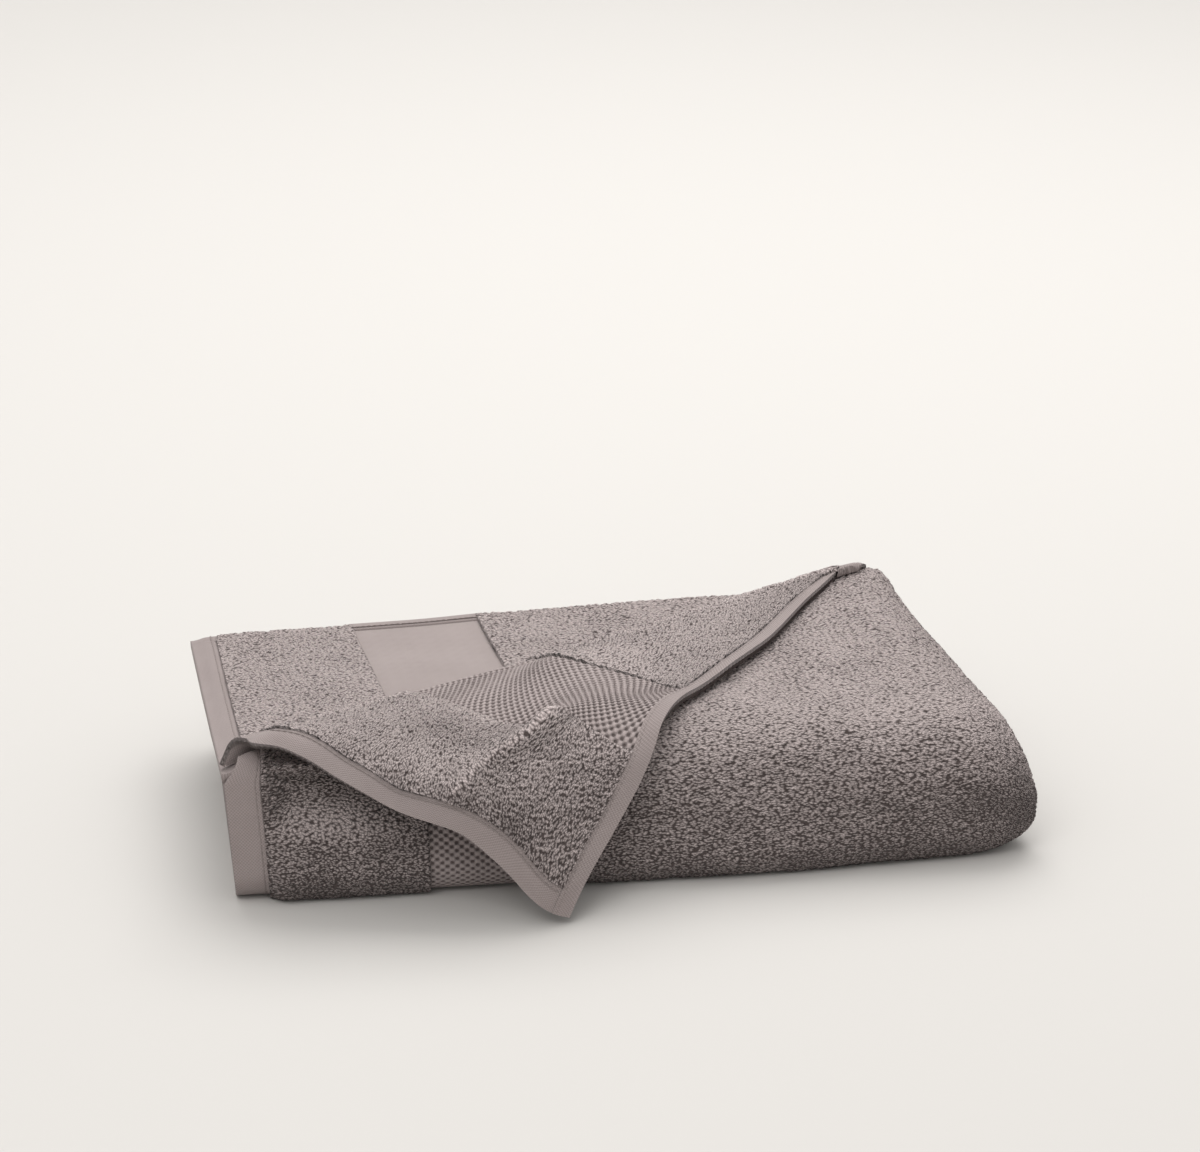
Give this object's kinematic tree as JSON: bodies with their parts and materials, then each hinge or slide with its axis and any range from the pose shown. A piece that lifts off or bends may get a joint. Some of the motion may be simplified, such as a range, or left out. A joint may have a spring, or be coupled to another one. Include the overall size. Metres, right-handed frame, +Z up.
{
  "type": "folded bath towel",
  "caption": "Folded terry bath towel in warm taupe-grey, a woven honeycomb border near its hem and one top corner turned back over the front fold.",
  "frame": {"origin": "centre of the whole object's footprint, on the resting face", "axes": "+X along the front fold from the hemmed end, -Y the front fold, +Z up"},
  "size_m": [0.3998, 0.2484, 0.0806],
  "materials": {
    "terry": "looped pile, matt with a soft sheen",
    "border": "honeycomb weave",
    "hem": "plain weave",
    "thread": "twisted thread"
  },
  "bodies": {
    "pack": {"crease_roll": "terry", "inner_fold_1": "terry", "inner_fold_2": "terry", "inner_fold_3": "terry", "inner_fold_4": "terry", "under_border": "border", "under_end_hem": "hem", "under_end_hem_thread": "thread", "under_side_hem": "hem", "under_side_hem_thread": "thread", "under_terry_end": "terry", "under_terry_main": "terry", "wrap_border": "border", "wrap_end_hem": "hem", "wrap_end_hem_thread": "thread", "wrap_terry_end": "terry", "wrap_terry_main": "terry"},
    "corner_flap": {"flap_bend": "terry", "flap_border": "border", "flap_side_hem": "hem", "flap_side_hem_thread": "thread", "flap_terry_end": "terry", "flap_terry_main": "terry"},
    "flap_tip": {"tip_end_hem": "hem", "tip_end_hem_thread": "thread", "tip_side_hem": "hem", "tip_side_hem_thread": "thread", "tip_terry": "terry"}
  },
  "joints": [
    {"name": "corner_fold", "type": "hinge", "parent": "pack", "child": "corner_flap", "pos_m": [-0.2, -0.0725, 0.0743], "axis": [-0.8718, -0.4899, 0], "range_deg": [0, 150]},
    {"name": "tip_fold", "type": "hinge", "parent": "corner_flap", "child": "flap_tip", "pos_m": [-0.1, -0.0725, 0.0776], "axis": [-1, 0, 0], "range_deg": [0, 55]}
  ],
  "couplings": [
    {"joint": "tip_fold", "follows": "corner_fold", "ratio": 0.366}
  ]
}
